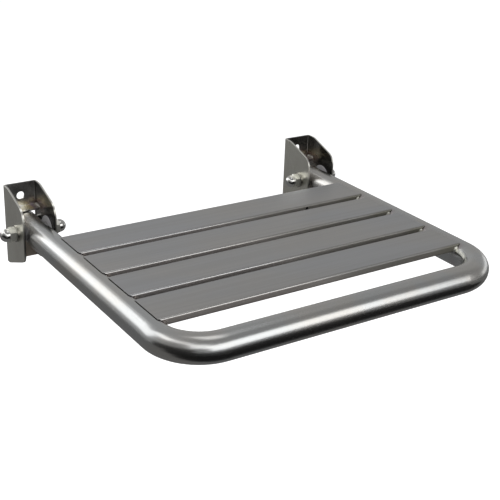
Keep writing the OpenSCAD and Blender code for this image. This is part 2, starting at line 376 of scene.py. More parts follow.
# The pale colour of the painted highlight, which the last slat bead shares
PAINTED_HIGHLIGHT_STEEL = (0.90, 0.90, 0.82)
TUBE_PATCHES = (14, 14, 14)
TUBE_SPECKS = (900, 900, 900)
TUBE_BELT_LINES = (2600, 60, 60)
TUBE_BELT_DEPTH = 0.000012
TUBE_ROUGHNESS = (0.22, 0.29)
HIGHLIGHT_STRIP_ROUGHER = 0.25
HIGHLIGHT_STRIP_SCATTER = 0.9
SPECK_SHARE = 0.25
HEAT_BLOTCHES = (0.4, 1.0)


def satin_tube():
    """The finish of the seat's tube."""
    material, shader, wire = new_material("satin_tube", TUBE_STEEL, 0.3)
    place = place_of(wire)
    x, y, z = parts_of(wire, place)
    patches = noise(wire, place, TUBE_PATCHES, detail=3.0)
    specks = noise(wire, place, TUBE_SPECKS, detail=1.0)
    belt_place = vector_of(wire, way_along_tube(wire, x, y), z, x + y)
    belt_lines = noise(wire, belt_place, TUBE_BELT_LINES)
    tint = blend_colours(wire, patches.step(0.4, 0.62), TUBE_STEEL_COOL, TUBE_STEEL_WARM)
    shade = blend_colours(wire, specks.step(0.3, 0.9) * SPECK_SHARE, tint, TUBE_SPECK)
    heat = slat_weld_heat(x, y, patches.between(*HEAT_BLOTCHES))
    shade = blend_colours(wire, heat, shade, HEAT_BROWN)
    # Painted highlight: a pale, rougher and less metallic strip in front of the last weld
    lightened = painted_highlight_strip(wire, x, y, z)
    shade = blend_colours(wire, lightened, shade, PAINTED_HIGHLIGHT_STEEL)
    roughness = patches.between(*TUBE_ROUGHNESS) + lightened * HIGHLIGHT_STRIP_ROUGHER
    wire.feed(shader.inputs["Base Color"], shade)
    wire.feed(shader.inputs["Metallic"], 1 - lightened * HIGHLIGHT_STRIP_SCATTER)
    wire.feed(shader.inputs["Roughness"], roughness)
    wire.feed(shader.inputs["Normal"], bump(wire, belt_lines, TUBE_BELT_DEPTH))
    return material


dress(["seat_tube"], satin_tube())

# %% [markdown]
# The slats are flat tube whose faces were brushed from end to end before they were cut. Under
# a soft light such lines smear each highlight across the slat and leave it even along it. Their
# front faces weren't brushed: they are brown, painted lighter at the left and darker at the right
# as painted sheen and shade, with a straw tint of welding heat near the right-hand ends. The
# rounded front edge is smoother at the left and rougher at the right, and towards the right its
# colour is darkened as painted shade. All this is one material for four slats, so the distance
# past a slat's front face is what is left over after whole pitches.

# %% Brushed slats
SLAT_STEEL_WARM = (0.51, 0.50, 0.485)
SLAT_STEEL_COOL = (0.49, 0.495, 0.505)
SLAT_STREAK = (0.40, 0.395, 0.385)
# Front faces: brown, painted lighter at the left and darker at the right as sheen and shade
SLAT_FRONT_LEFT = (0.62, 0.575, 0.55)
SLAT_FRONT_RIGHT = (0.34, 0.31, 0.285)
# Painted shade on the rounded front edge towards the right
SLAT_EDGE_SHADE = (0.27, 0.265, 0.24)
HEAT_STRAW = (0.20, 0.19, 0.13)
SLAT_LINES = (14, 2600, 2600)
SLAT_STREAKS = (3, 260, 260)
SLAT_PATCHES = (6, 16, 16)
SLAT_LINE_DEPTH = 0.00002
SLAT_ROUGHNESS = (0.28, 0.42)
FRONT_FACE = (0.0004, 0.0016)
ROUNDED_EDGE = (0.0014, 0.0030)
EDGE_LIGHT = (-0.0022, -0.0010)
FRONT_SHADE_RANGE = (0.0, 0.12)
EDGE_SHADE_RANGE = (-0.06, 0.06)
EDGE_DULLS = (-0.06, 0.08)
EDGE_ROUGHER = (-0.10, 0.24)
FRONT_ROUGHER = 0.24
STRAW_REACH, STRAW_FULL = 0.050, 0.012
STREAK_SHARE, STRAW_SHARE, EDGE_SHADE_SHARE = 0.36, 0.8, 0.6
FRONT_BLOTCHES = (0.6, 1.0)


def brushed_slat():
    """The finish of all four slats."""
    material, shader, wire = new_material("brushed_slat", SLAT_STEEL_WARM, 0.34)
    place = place_of(wire)
    x, y, z = parts_of(wire, place)
    lines = noise(wire, place, SLAT_LINES, detail=3.0)
    streaks = noise(wire, place, SLAT_STREAKS)
    patches = noise(wire, place, SLAT_PATCHES)
    tint = blend_colours(wire, patches.step(0.36, 0.64), SLAT_STEEL_COOL, SLAT_STEEL_WARM)
    shade = blend_colours(wire, streaks.step(0.35, 0.75) * STREAK_SHARE, tint, SLAT_STREAK)
    past_front = (y - slats_front).past_whole(slat_pitch)
    front_face = 1 - past_front.step(*FRONT_FACE)
    rounded_edge = 1 - past_front.step(*ROUNDED_EDGE)
    below_edge = front_face * (1 - (z - slat_top).step(*EDGE_LIGHT))
    # Painted sheen and shade: the brown front faces are lighter at the left and darker at the right
    front_tone = blend_colours(wire, x.step(*FRONT_SHADE_RANGE), SLAT_FRONT_LEFT, SLAT_FRONT_RIGHT)
    shade = blend_colours(wire, below_edge * patches.between(*FRONT_BLOTCHES), shade, front_tone)
    right_ends = x.step(slat_half - STRAW_REACH, slat_half - STRAW_FULL)
    shade = blend_colours(wire, right_ends * front_face * STRAW_SHARE, shade, HEAT_STRAW)
    # Painted shade darkens the rounded front edge towards the right
    shaded_edge = rounded_edge * x.step(*EDGE_SHADE_RANGE) * EDGE_SHADE_SHARE
    shade = blend_colours(wire, shaded_edge, shade, SLAT_EDGE_SHADE)
    dulled = rounded_edge * x.step(*EDGE_DULLS).between(*EDGE_ROUGHER) + below_edge * FRONT_ROUGHER
    wire.feed(shader.inputs["Base Color"], shade)
    wire.feed(shader.inputs["Roughness"], lines.between(*SLAT_ROUGHNESS) + dulled)
    wire.feed(shader.inputs["Normal"], bump(wire, lines, SLAT_LINE_DEPTH))
    return material


dress([f"slat_{index}" for index in (1, 2, 3, 4)], brushed_slat())

# %% [markdown]
# Each bracket is laser cut and folded from one sheet, so several finishes lie on one piece, and
# the shader tells them apart by where a point is. Inside, the sheet is smooth, and its colour is
# painted dark as shade. The painted shade is darkest on the front part of the cheeks. The
# left-hand cheek of each bracket, which the tube mirrors, is painted lighter for the light that it
# reflects, and the lower part of the plate is painted pale as a sheen. Near the welds the steel is
# burnt brown.

# %% Painted shade inside the brackets
# Inner faces: painted shade, painted sheen and real burnt brown
INNER_SHADE_STEEL = (0.25, 0.245, 0.235)
MILL_SKIN_BURNT = (0.24, 0.17, 0.145)
INNER_FRONT_SHADE = (0.07, 0.07, 0.065)
INNER_LOWER_SHEEN = (0.78, 0.69, 0.60)
INNER_LEFT_LIGHTER = (0.62, 0.60, 0.57)
BURNT_SHARE = 0.7
FRONT_PART = (0.026, 0.038)
EITHER_SIDE = (-0.0001, 0.0001)


def inner_shade_and_burn(wire, x, y, off_cheeks, lower_plate, heat):
    """The colour of the sheet's inner faces: painted shade and sheen, and burnt brown near the welds.
    """
    # Painted shade on the inner faces, with a paler painted sheen on the plate's lower part
    inner_colour = blend_colours(wire, lower_plate * off_cheeks, INNER_SHADE_STEEL, INNER_LOWER_SHEEN)
    inner_colour = blend_colours(wire, heat * BURNT_SHARE, inner_colour, MILL_SKIN_BURNT)
    on_cheeks = 1 - off_cheeks
    # Painted shade, darkest on the front part of the cheeks
    inner_colour = blend_colours(wire, on_cheeks * (-y).step(*FRONT_PART), inner_colour, INNER_FRONT_SHADE)
    # The left-hand cheeks are painted lighter, for the light that they mirror onto the tube
    left_hand = 1 - (x * (x.absolute() - leg_x)).step(*EITHER_SIDE)
    return blend_colours(wire, on_cheeks * left_hand, inner_colour, INNER_LEFT_LIGHTER)


# The front part of the cheeks darkens to its painted shade over this range
print("mill skin darkens from", FRONT_PART[0], "to", FRONT_PART[1], "off the wall")

# %% [markdown]
# The stop tab was brushed clean for welding, and welding it to the cheeks left bands of oxide:
# straw, then brown, and purple nearest to the weld. They are thin films, and their colour is set
# by how hot the steel became. So the distance to the weld picks the band from a colour ramp, with
# some noise to make the bands wander. On the plate above the tab the film is duller, and a dark
# line of painted shadow runs along the tab's foot, where it meets the tube.

# %% Oxide on the stop tabs
OXIDE_REACH = 0.020
OXIDE_FROM = 0.001
OXIDE_FLATTENED = 1.7
OXIDE_WANDER = 0.2
OXIDE_STARTS = (0.0, 0.1)
PLATE_OXIDE = (0.36, 0.32, 0.25)
# Painted shadow at the tab's foot
TAB_FOOT_SHADOW = (0.12, 0.11, 0.10)
PLATE_OXIDE_SHARE = 0.7
PLATE_ABOVE_TAB = (-0.004, 0.001)
FOOT_SHADOW_LINE = (0.0004, 0.0016)
OXIDE_BANDS = [
    (0.0, (0.80, 0.79, 0.73, 1)),
    (0.3, (0.78, 0.74, 0.59, 1)),
    (0.62, (0.64, 0.56, 0.43, 1)),
    (0.84, (0.46, 0.39, 0.45, 1)),
    (1.0, (0.55, 0.54, 0.50, 1)),
]


def tab_weld_heat(wire, across, y, z):
    """1 at the weld between a tab and a cheek, and 0 from OXIDE_REACH on."""
    beside_weld = (z - weld_middle_z) * OXIDE_FLATTENED
    before_weld = (weld_low.y - y).above(0.0)
    away = length_of(wire, across - cheek_inner, beside_weld, before_weld)
    return 1 - away.step(OXIDE_FROM, OXIDE_REACH)


def tab_oxide(wire, z, heat, patches):
    """The colour of the tab and of the plate just above it, with a painted shadow at the tab's foot."""
    band = (heat + (patches - 0.5) * OXIDE_WANDER) * heat.step(*OXIDE_STARTS)
    oxide = wire.node("ShaderNodeValToRGB", {"stops": OXIDE_BANDS}, {0: band})
    above_tab = (z - weld_high.z).step(*PLATE_ABOVE_TAB)
    oxide = blend_colours(wire, above_tab * PLATE_OXIDE_SHARE, oxide, PLATE_OXIDE)
    # A painted shadow line along the tab's foot
    return blend_colours(wire, 1 - (z - weld_low.z).step(*FOOT_SHADOW_LINE), oxide, TAB_FOOT_SHADOW)


print("oxide reaches", OXIDE_REACH, "from a weld, in", len(OXIDE_BANDS), "bands")

# %% [markdown]
# The cheeks' outer faces and the plate's rear face were sanded after the folding. The laser left
# its own bright edge round the outline. Its colour is painted by the way it faces: lighter where
# it faces up, as a painted highlight, and darker on the steep front, as painted shade, where it is
# rougher too. Whether an edge faces up is read from the surface's own direction.

# %% Folded brackets
SANDED_STEEL = (0.84, 0.83, 0.755)
SANDED_STEEL_DULL = (0.76, 0.74, 0.67)
CUT_EDGE_STEEL = (0.86, 0.85, 0.80)
# Painted shade on cut edges that face the front
CUT_NOSE_SHADE = (0.52, 0.51, 0.47)
MILL_GRAIN = (900, 900, 30)
SHEET_PATCHES = (30, 30, 18)
SHEET_GRAIN_DEPTH = 0.000016
GRAIN_INSIDE, GRAIN_OUTSIDE = 0.15, 1.0
REAR_FACE = (-0.0006, -0.0002)
FACES_UP = (0.3, 0.7)
OVER_TAB_FOOT = (-0.004, -0.001)
OVER_TAB_TOP = (0.003, 0.008)
CHEEK_FROM, CHEEK_FULL = 0.003, 0.001
OUTER_FROM, OUTER_FULL = 0.0004, 0.0002
CUT_CLEAR, CUT_FULL = 0.0001, 0.0005
LOWER_PLATE_RISE = 0.012
MILL_ROUGHNESS = (0.16, 0.28)
SANDED_ROUGHNESS = (0.24, 0.34)
HEAT_ROUGHER, LOWER_PLATE_ROUGHER, NOSE_ROUGHER = 0.10, 0.38, 0.2


def folded_sheet():
    """The finish of both brackets."""
    material, shader, wire = new_material("folded_sheet", SANDED_STEEL, 0.4)
    place = place_of(wire)
    x, y, z = parts_of(wire, place)
    mill = noise(wire, place, MILL_GRAIN)
    patches = noise(wire, place, SHEET_PATCHES, detail=3.0)

    across = (x.absolute() - leg_x).absolute()
    outer_face = across.step(cheek_inner + OUTER_FROM, cheek_outer - OUTER_FULL)
    outside = outer_face.above(y.step(*REAR_FACE))
    off_cheeks = 1 - across.step(cheek_inner - CHEEK_FROM, cheek_inner - CHEEK_FULL)
    over_tab = (z - weld_low.z).step(*OVER_TAB_FOOT) * (1 - (z - weld_high.z).step(*OVER_TAB_TOP))
    # The plate's lower part, painted pale and made rougher
    lower_plate = (pivot_z - tube_r - z).step(0.0, LOWER_PLATE_RISE)
    heat = tab_weld_heat(wire, across, y, z)

    inner_colour = inner_shade_and_burn(wire, x, y, off_cheeks, lower_plate, heat)
    oxide = tab_oxide(wire, z, heat, patches)
    inside = blend_colours(wire, off_cheeks * over_tab, inner_colour, oxide)
    sanded = blend_colours(wire, patches.step(0.35, 0.7), SANDED_STEEL, SANDED_STEEL_DULL)
    shade = blend_colours(wire, outside, inside, sanded)

    past_inner = across.step(cheek_inner + CUT_CLEAR, cheek_inner + CUT_FULL)
    cut_edge = past_inner * (1 - across.step(cheek_outer - CUT_FULL, cheek_outer - CUT_CLEAR))
    # Painted light and shade: cut edges lighter where they face up, darker on the steep front
    normal = wire.node("ShaderNodeTexCoord", output="Normal")
    upwards = parts_of(wire, normal)[2].step(*FACES_UP)
    edge_light_and_shade = blend_colours(wire, upwards, CUT_NOSE_SHADE, CUT_EDGE_STEEL)

    inner = patches.between(*MILL_ROUGHNESS) + heat * HEAT_ROUGHER + lower_plate * LOWER_PLATE_ROUGHER
    outer = mill.between(*SANDED_ROUGHNESS) + cut_edge * (1 - upwards) * NOSE_ROUGHER
    wire.feed(shader.inputs["Base Color"], blend_colours(wire, cut_edge, shade, edge_light_and_shade))
    wire.feed(shader.inputs["Roughness"], inner * (1 - outside) + outer * outside)
    grain = mill * outside.between(GRAIN_INSIDE, GRAIN_OUTSIDE)
    wire.feed(shader.inputs["Normal"], bump(wire, grain, SHEET_GRAIN_DEPTH))
    return material


dress(["left_bracket", "right_bracket"], folded_sheet())

# %% [markdown]
# The dome nuts were polished on their domes and left as forged on their six flats, which a wrench
# grips and scuffs. Both finishes lie on one piece, and the distance from the leg's axis tells
# where the hexagon ends and the dome starts.

# %% Dome nuts
DOME_STEEL = (0.66, 0.655, 0.635)
FLATS_STEEL = (0.92, 0.92, 0.86)
FLATS_STEEL_DULL = (0.72, 0.72, 0.66)
NUT_WEAR = (180, 180, 180)
NUT_SCUFFS = (1200, 1200, 1200)
NUT_RELIEF = 0.00006
DOME_ROUGHNESS = (0.10, 0.22)
FLATS_ROUGHNESS = (0.36, 0.50)
DOME_RELIEF_SHARE, FLATS_RELIEF_SHARE = 0.3, 0.6
DOME_FROM, DOME_FULL = 0.0002, 0.0006


def dome_nut_steel():
    """The finish of the four dome nuts."""
    material, shader, wire = new_material("dome_nut_steel", DOME_STEEL, 0.2)
    place = place_of(wire)
    x = parts_of(wire, place)[0]
    wear = noise(wire, place, NUT_WEAR, detail=3.0)
    scuffs = noise(wire, place, NUT_SCUFFS)
    across = (x.absolute() - leg_x).absolute()
    dome = across.step(hex_end - DOME_FROM, hex_end + DOME_FULL)
    flats = blend_colours(wire, scuffs.step(0.3, 0.7), FLATS_STEEL, FLATS_STEEL_DULL)
    roughness = scuffs.between(*FLATS_ROUGHNESS) * (1 - dome) + wear.between(*DOME_ROUGHNESS) * dome
    relief = scuffs * (1 - dome) * FLATS_RELIEF_SHARE + wear * dome * DOME_RELIEF_SHARE
    wire.feed(shader.inputs["Base Color"], blend_colours(wire, dome, flats, DOME_STEEL))
    wire.feed(shader.inputs["Roughness"], roughness)
    wire.feed(shader.inputs["Normal"], bump(wire, relief, NUT_RELIEF))
    return material


sides = ("left", "right")
dress([f"{side}_{place}_nut" for side in sides for place in ("outer", "inner")], dome_nut_steel())

# %% [markdown]
# Rods and sleeves were turned on a lathe and keep its fine rings, so their noise runs along the
# radius from the pivot's axis. The washers are faced in the same way, but are smoother and
# darker, and mirror the nuts a little.

# %% Turned rods, sleeves and washers
TURNED_STEEL = (0.58, 0.575, 0.55)
WASHER_STEEL = (0.40, 0.395, 0.365)
LATHE_RINGS = (3000, 3000, 1)
LATHE_RING_DEPTH = 0.000006
TURNED_STAINS = (120, 120, 120)
STAINED_SHARE = 0.78
STAIN_STRENGTH = 0.4


def turned_steel(name, smoothest, roughest, clean):
    """A finish of rings round the pivot's axis."""
    material, shader, wire = new_material(name, clean, smoothest)
    place = place_of(wire)
    x, y, z = parts_of(wire, place)
    radius = length_of(wire, 0.0, y - pivot_y, z - pivot_z)
    rings = noise(wire, vector_of(wire, x, radius, 0.0), LATHE_RINGS, detail=1.0)
    stains = noise(wire, place, TURNED_STAINS)
    stained = tuple(c * STAINED_SHARE for c in clean)
    shade = blend_colours(wire, stains.step(0.4, 0.7) * STAIN_STRENGTH, clean, stained)
    wire.feed(shader.inputs["Base Color"], shade)
    wire.feed(shader.inputs["Roughness"], rings.between(smoothest, roughest))
    wire.feed(shader.inputs["Normal"], bump(wire, rings, LATHE_RING_DEPTH))
    return material


dress([f"{side}_washers" for side in sides], turned_steel("flat_washer", 0.14, 0.24, WASHER_STEEL))
turned_names = [f"{side}_{part}" for side in sides for part in ("pivot_rod", "pivot_sleeve")]
dress(turned_names, turned_steel("turned_steel", 0.18, 0.32, TURNED_STEEL))

# %% [markdown]
# Nylon bushes keep the steel parts apart at the pivots, and a moulded plastic insert closes the
# open heel of each leg. Both are dull, with a faint mould grain.

# %% Moulded bushes and plugs
BUSH_NYLON = (0.52, 0.51, 0.525)
PLUG_BLACK = (0.06, 0.06, 0.06)
MOULD_GRAIN = (1500, 1500, 1500)
MOULD_GRAIN_DEPTH = 0.00002
MOULD_CLOUD = (90, 90, 90)
CLOUDED_SHARE = 0.8
CLOUD_SMOOTHER, CLOUD_ROUGHER = 0.06, 0.08


def moulded_plastic(name, colour, roughness):
    """A dull finish of slightly uneven plastic."""
    material, shader, wire = new_material(name, colour, roughness, metallic=0.0)
    place = place_of(wire)
    grain = noise(wire, place, MOULD_GRAIN)
    cloud = noise(wire, place, MOULD_CLOUD)
    clouded = tuple(c * CLOUDED_SHARE for c in colour)
    shade = blend_colours(wire, cloud.step(0.3, 0.8), colour, clouded)
    uneven = cloud.between(roughness - CLOUD_SMOOTHER, roughness + CLOUD_ROUGHER)
    wire.feed(shader.inputs["Base Color"], shade)
    wire.feed(shader.inputs["Roughness"], uneven)
    wire.feed(shader.inputs["Normal"], bump(wire, grain, MOULD_GRAIN_DEPTH))
    return material


bush_material = moulded_plastic("bush_nylon", BUSH_NYLON, 0.45)
dress([f"{side}_end_plug" for side in sides], moulded_plastic("plug_plastic", PLUG_BLACK, 0.5))

# %% [markdown]
# Bushes and weld beads have finer forms than their CAD pieces, so Blender shapes them anew. Each
# such piece rides on its body, so that it folds with the seat, takes the place of its CAD piece,
# and gets the material that it is given. Its mesh comes from plain lists of points and faces, and
# edges sharper than the angle below stay crisp.

# %% Helper for pieces shaped in Blender
SHARP_ANGLE = math.radians(50)


def build_piece(name, parts, material, body, stands_for):
    """One object from several vertex and face lists, riding on a body for a CAD node."""
    mesh = bpy.data.meshes.new(name)
    verts, faces = [], []
    for part_verts, part_faces in parts:
        start = len(verts)
        verts += part_verts
        faces += [tuple(index + start for index in face) for face in part_faces]
    mesh.from_pydata(verts, [], faces)
    shaped = bmesh.new()
    shaped.from_mesh(mesh)
    bmesh.ops.recalc_face_normals(shaped, faces=shaped.faces)
    shaped.to_mesh(mesh)
    shaped.free()
    mesh.shade_smooth()
    mesh.set_sharp_from_angle(angle=SHARP_ANGLE)
    mesh.materials.append(material)
    piece = bpy.data.objects.new(name, mesh)
    bpy.context.scene.collection.objects.link(piece)
    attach(piece, body)
    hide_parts(stands_for)
    print(name, "stands for", stands_for, "with", len(faces), "faces")


print("ready to build pieces")

# %% [markdown]
# The flange of each bush is as wide as a large washer, so that the seat can't rack between the
# cheeks. Its bare rim shows beside the tube. A bush is a turned form: one outline of its section,
# with the flange's edge rounded, is carried round the pivot's axis.

# %% Outline of a bush
FLANGE_R = 0.015
FLANGE_EDGE_R = 0.0005
FLANGE_EDGE_STEPS = 3
BUSH_BORE_R = 0.00505
BUSH_BARREL_R = 0.00605


def bush_outline(start, face, end):
    """The bush's section as pairs of a distance from the leg's axis and a radius."""
    outline = [(start, BUSH_BORE_R), (start, BUSH_BARREL_R), (face, BUSH_BARREL_R)]
    edge_radius = FLANGE_R - FLANGE_EDGE_R
    for corner, turn_from in ((face + FLANGE_EDGE_R, 180), (end - FLANGE_EDGE_R, 90)):
        for step in range(FLANGE_EDGE_STEPS + 1):
            turn = math.radians(turn_from - 90 * step / FLANGE_EDGE_STEPS)
            across = corner + FLANGE_EDGE_R * math.cos(turn)
            outline.append((across, edge_radius + FLANGE_EDGE_R * math.sin(turn)))
    return outline + [(end, BUSH_BORE_R)]


sleeve_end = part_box("right_pivot_sleeve")[1].x - leg_x
flange_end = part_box("right_outer_bush")[1].x - leg_x
bush_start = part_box("right_outer_bush")[0].x - leg_x
bush_section = bush_outline(bush_start, sleeve_end, flange_end)
print("flanges from", round(sleeve_end, 4), "to", round(flange_end, 4), "beside a leg's axis")

# %% [markdown]
# Blender's Screw modifier could turn the outline, but the points are few, so the turned mesh is
# written out: one copy of the outline per step round the axis, and a face between each pair of
# neighbours. The four bushes differ only in their leg and in the side that they point to.

# %% Bushes with wide flanges
TURN_STEPS = 64


def turned_round_pivot(outline, leg, facing):
    """Carries a closed outline once round the pivot's axis; facing is the side that it points to."""
    verts, faces = [], []
    for step in range(TURN_STEPS):
        turn = 2 * math.pi * step / TURN_STEPS
        for across, radius in outline:
            y, z = pivot_y + radius * math.cos(turn), pivot_z + radius * math.sin(turn)
            verts.append(Vector((leg + facing * across, y, z)))
    count = len(outline)
    for step in range(TURN_STEPS):
        for index in range(count):
            a, b = step * count + index, step * count + (index + 1) % count
            further = ((step + 1) % TURN_STEPS - step) * count
            faces.append((a, b, b + further, a + further))
    return verts, faces


for side_name, side in zip(sides, (-1, 1)):
    for place, facing in (("outer", side), ("inner", -side)):
        bush = turned_round_pivot(bush_section, side * leg_x, facing)
        name = f"{side_name}_{place}_bush"
        build_piece(name + "_wide", [bush], bush_material, "seat", name)

# %% [markdown]
# A weld bead is a row of frozen puddles, each laid over the one before. The CAD model has plain
# fillets in those corners. Bump could fake the ripples, but the beads catch the light at their
# edges, so they are modelled: a fillet's outline is carried along the corner, and its free arc
# swells and shrinks once per puddle, while the part inside the corner stays as it is.

# %% Ripples of a weld bead
RIPPLE_PITCH = 0.0021
RIPPLE_SWELL = 0.16
RIPPLE_SHAPE = 0.6
WANDER, WANDER_PER_METRE, WANDER_PER_SEED = 0.05, 900, 5
END_LENGTH = 1.2
END_LEAST = 0.03
ARC_STEPS = 9
CROWN = 0.10


def fillet_arc(first_leg, second_leg):
    """Points from the end of one leg to the end of the other, on a slightly bulging arc."""
    points = []
    for step in range(ARC_STEPS + 1):
        turn = math.pi / 2 * step / ARC_STEPS
        bulge = 1 + CROWN * math.sin(2 * turn)
        points.append((first_leg * math.cos(turn) + second_leg * math.sin(turn)) * bulge)
    return points


def ripple(travel, length, seed):
    """How large the bead's arc is at this travel: one rise per puddle, rounded off at both ends."""
    phase = (travel / RIPPLE_PITCH + seed) % 1.0
    wander = WANDER * math.sin(travel * WANDER_PER_METRE + seed * WANDER_PER_SEED)
    swell = 1 - RIPPLE_SWELL * (1 - phase ** RIPPLE_SHAPE) + wander
    to_end = min(travel, length - travel) / (RIPPLE_PITCH * END_LENGTH)
    return swell * math.sqrt(min(1.0, max(to_end, END_LEAST)))


print("beads at a ripple pitch of", RIPPLE_PITCH)

# %% [markdown]
# A bead's mesh is a chain of rings, several per puddle. Each ring leans forward a little at its
# crown, because a puddle freezes behind the moving arc. A function gives the corner, the way
# along it, the arc and the root at each travel, so the same code lays straight and bent beads.

# %% Mesh of a weld bead
RINGS_PER_RIPPLE = 6
PUDDLE_LEAN = 0.35


def bead(length, seed, place_at):
    """A bead as vertices and faces; place_at gives corner, along, arc and root at a travel."""
    rings = max(2, round(length / RIPPLE_PITCH)) * RINGS_PER_RIPPLE
    verts, faces = [], []
    for ring in range(rings + 1):
        travel = ring / rings * length
        corner, along, arc, root = place_at(travel)
        swell = ripple(travel, length, seed)
        for index, point in enumerate(arc):
            lean = RIPPLE_PITCH * PUDDLE_LEAN * math.sin(math.pi * index / ARC_STEPS)
            room = min(lean, length - travel, travel)
            verts.append(corner + along * room + point * swell)
        verts += [corner + point for point in root]
    count = len(verts) // (rings + 1)
    for ring in range(rings):
        for index in range(count):
            a, b = ring * count + index, ring * count + (index + 1) % count
            faces.append((a, b, b + count, a + count))
    faces.append(tuple(range(count))[::-1])
    faces.append(tuple(rings * count + index for index in range(count)))
    return verts, faces


def straight(start, along, first_leg, second_leg, root):
    """A place_at function for a bead along a straight corner."""
    arc = fillet_arc(first_leg, second_leg)
    return lambda travel: (start + along * travel, along, arc, root)


print("a bead has", RINGS_PER_RIPPLE, "rings for each puddle")

# %% [markdown]
# The beads kept a clouded, burnt skin, lighter on the stop tabs and dark under the slats. The
# beads at the slats' right-hand ends are lightened towards the pale of the painted highlight on
# the tube, the last one fully, beside that highlight. Only their place tells them apart, so the
# mask is worked out from the slats' sizes.

# %% Steel of the weld beads
TAB_BEAD_CLEAN, TAB_BEAD_BURNT = (0.52, 0.51, 0.48), (0.40, 0.37, 0.33)
SLAT_BEAD_DARK, SLAT_BEAD_BURNT = (0.24, 0.22, 0.205), (0.17, 0.15, 0.14)
BEAD_CLOUD = (160, 160, 160)
BEAD_RELIEF = 0.00004
BEAD_ROUGHNESS = (0.42, 0.56)
LAST_WELD = (0.0001, 0.0004)
REAR_WELD_ROOM = 0.005
REAR_WELD_FADE = (0.0, 0.002)
RIGHT_HALF = (0.0, 0.01)
RIGHT_BEADS_LIGHTENED, LAST_BEAD_LIGHTENED = 0.65, 1.0


def weld_steel(name, clean, burnt):
    """The finish of weld beads between a clean and a burnt colour."""
    material, shader, wire = new_material(name, clean, 0.42)
    place = place_of(wire)
    x, y = parts_of(wire, place)[:2]
    cloud = noise(wire, place, BEAD_CLOUD, detail=3.0)
    shade = blend_colours(wire, cloud.step(0.4, 0.75), clean, burnt)
    # Right-hand beads lightened towards the painted highlight's pale, the last one fully
    last_weld = (slats_front - y).step(*LAST_WELD)
    among_slats = (slats_rear + REAR_WELD_ROOM - y).step(*REAR_WELD_FADE)
    how_far = last_weld.between(RIGHT_BEADS_LIGHTENED, LAST_BEAD_LIGHTENED)
    lightened = x.step(*RIGHT_HALF) * among_slats * how_far
    shade = blend_colours(wire, lightened, shade, PAINTED_HIGHLIGHT_STEEL)
    wire.feed(shader.inputs["Base Color"], shade)
    wire.feed(shader.inputs["Roughness"], cloud.between(*BEAD_ROUGHNESS))
    wire.feed(shader.inputs["Normal"], bump(wire, cloud, BEAD_RELIEF))
    return material


tab_weld_material = weld_steel("tab_weld_steel", TAB_BEAD_CLEAN, TAB_BEAD_BURNT)
slat_weld_material = weld_steel("slat_weld_steel", SLAT_BEAD_DARK, SLAT_BEAD_BURNT)
print(tab_weld_material.name, "and", slat_weld_material.name, "ready")

# %% [markdown]
# Two short beads hold each stop tab to its cheeks. Their root fills the narrow slot between the
# tab's end and the cheek, and only the fillet above it shows. A seed of its own shifts each
# bead's puddles, because no two beads of a welder match.

# %% Beads on the stop tabs
TAB_BEAD_R = 0.0035
TAB_ROOT_W = 0.0014
TAB_SEED_PER_END, TAB_SEED_PER_SIDE = 0.37, 0.21


def tab_beads(side):
    """Both beads of one stop tab."""
    tab_top = weld_high.z - TAB_BEAD_R
    foot = Vector((0, 0, weld_low.z - tab_top))
    up = Vector((0, 0, TAB_BEAD_R))
    length = weld_high.y - weld_low.y
    parts = []
    for end in (-1, 1):
        start = Vector((side * leg_x + end * cheek_inner, weld_high.y, tab_top))
        inward = Vector((-end, 0, 0))
        root = [inward * TAB_ROOT_W, inward * TAB_ROOT_W + foot, foot]
        path = straight(start, Vector((0, -1, 0)), up, inward * TAB_BEAD_R, root)
        parts.append(bead(length, TAB_SEED_PER_END * end + TAB_SEED_PER_SIDE * side, path))
    return parts


for side_name, side in zip(sides, (-1, 1)):
    piece, node = f"{side_name}_tab_beads", f"{side_name}_tab_welds"
    build_piece(piece, tab_beads(side), tab_weld_material, "wall_brackets", node)

# %% [markdown]
# Each slat is welded to the tube from below, with one straight bead, and round its front and rear
# corners, where the bead climbs along the curve in which the slat's face meets the round tube.

# %% Beads on the slats
SLAT_BEAD_R = 0.003
SLAT_BEAD_LEN = 0.040
FACE_BEAD_ON_SLAT = 0.0032
FACE_BEAD_ON_TUBE = 0.0022
FACE_BEAD_ROOT = 0.0004
FACE_BEAD_FROM = math.radians(24)
FACE_BEAD_TO = math.radians(52)
UNDER_SEED_PER_METRE, UNDER_SEED_PER_SIDE = 31, 0.3
FACE_SEED_PER_METRE, FACE_SEED_PER_SIDE = 17, 0.4


def under_slat(side, front):
    """The bead in the corner between a slat's underside and the tube."""
    height = slat_foot - pivot_z
    angle = math.asin(height / tube_r)
    lower = angle - SLAT_BEAD_R / tube_r
    corner = Vector((math.cos(angle), 0, math.sin(angle))) * tube_r
    down = Vector((math.cos(lower), 0, math.sin(lower))) * tube_r - corner
    middle = front + slat_w / 2
    start = Vector((side * (leg_x - corner.x), middle + SLAT_BEAD_LEN / 2, slat_foot))
    inward = Vector((-side * SLAT_BEAD_R, 0, 0))
    down_tube = Vector((-side * down.x, 0, down.z))
    path = straight(start, Vector((0, -1, 0)), inward, down_tube, [Vector((0, 0, 0))])
    seed = front * UNDER_SEED_PER_METRE + side * UNDER_SEED_PER_SIDE
    return bead(SLAT_BEAD_LEN, seed, path)


